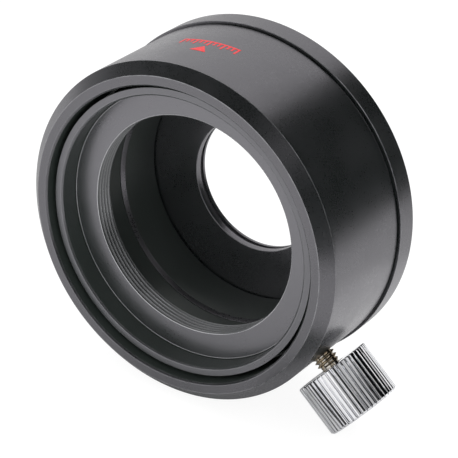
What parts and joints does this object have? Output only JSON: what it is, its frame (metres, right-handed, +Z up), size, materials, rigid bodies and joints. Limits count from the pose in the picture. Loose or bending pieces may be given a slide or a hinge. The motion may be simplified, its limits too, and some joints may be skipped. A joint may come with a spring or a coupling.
{
  "type": "camera adapter ring",
  "caption": "Hollow black anodised adapter ring with a turning threaded ring inside, a rear cap and a knurled clamp thumbscrew.",
  "frame": {"origin": "on the optical axis, in the plane of the sleeve's front face", "axes": "+Y along the optical axis from the camera side to the rear cap, +Z up, +X to the side that the thumbscrew points to"},
  "size_m": [0.0647, 0.0264, 0.0584],
  "materials": {
    "anodised_shell": "satin black anodised, fine turned",
    "anodised_ring": "satin black anodised, faced",
    "anodised_bore": "matt black anodised",
    "chrome_knob": "polished, straight knurl",
    "plated_brass": "thin nickel plate worn warm",
    "nylon_pad": "natural nylon"
  },
  "bodies": {
    "housing": {"front_sleeve": "anodised_shell", "rear_cap": "anodised_shell", "inner_barrel": "anodised_bore"},
    "rotator": {"carrier_ring": "anodised_ring", "thread_insert": "anodised_ring"},
    "pad": {"pressure_pad": "nylon_pad"},
    "thumbscrew": {"thumbscrew_knob": "chrome_knob", "thumbscrew_stud": "plated_brass"}
  },
  "joints": [
    {"name": "carrier_turn", "type": "hinge", "parent": "housing", "child": "rotator", "pos_m": [0, 0, 0], "axis": [0, 1, 0], "continuous": true},
    {"name": "thumbscrew_travel", "type": "slide", "parent": "housing", "child": "pad", "axis": [-0.7943, 0, 0.6075], "range_m": [-0.00175, 0.00058]},
    {"name": "thumbscrew_turn", "type": "hinge", "parent": "pad", "child": "thumbscrew", "pos_m": [0, 0.012, 0], "axis": [-0.7943, 0, 0.6075], "range_deg": [-900, 300]}
  ],
  "couplings": [
    {"joint": "thumbscrew_travel", "follows": "thumbscrew_turn", "m_per_rad": 0.00011141}
  ]
}
